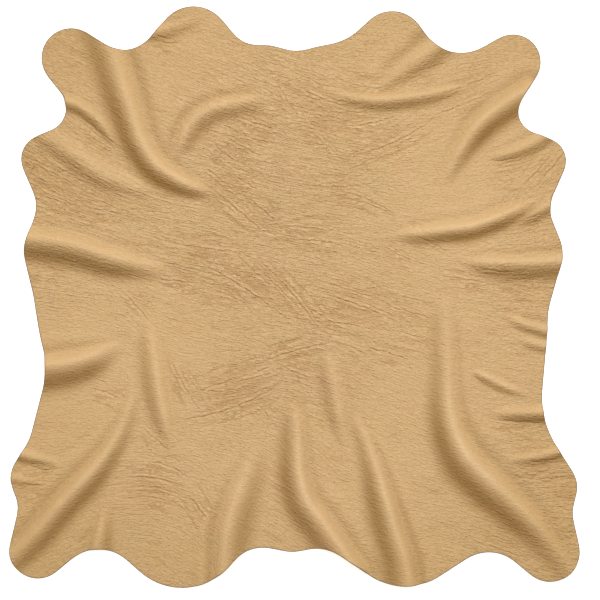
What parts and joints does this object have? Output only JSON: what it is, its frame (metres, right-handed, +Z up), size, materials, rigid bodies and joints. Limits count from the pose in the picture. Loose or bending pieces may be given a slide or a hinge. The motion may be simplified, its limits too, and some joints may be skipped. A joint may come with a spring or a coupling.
{
  "type": "leather hide",
  "caption": "Whole small tanned hide lying flat with its grain side up, trimmed to lobes at the shanks and flanks, with soft folds running in from the edge.",
  "frame": {"origin": "centre of the hide's plan, on the surface it lies on", "axes": "+X towards the right flank, +Y towards the neck, +Z up, out of the grain side"},
  "size_m": [0.6846, 0.6974, 0.0141],
  "materials": {
    "leather": "tan, matt to satin grain with fine wrinkles"
  },
  "bodies": {
    "root": {"hide": "leather"}
  },
  "joints": []
}
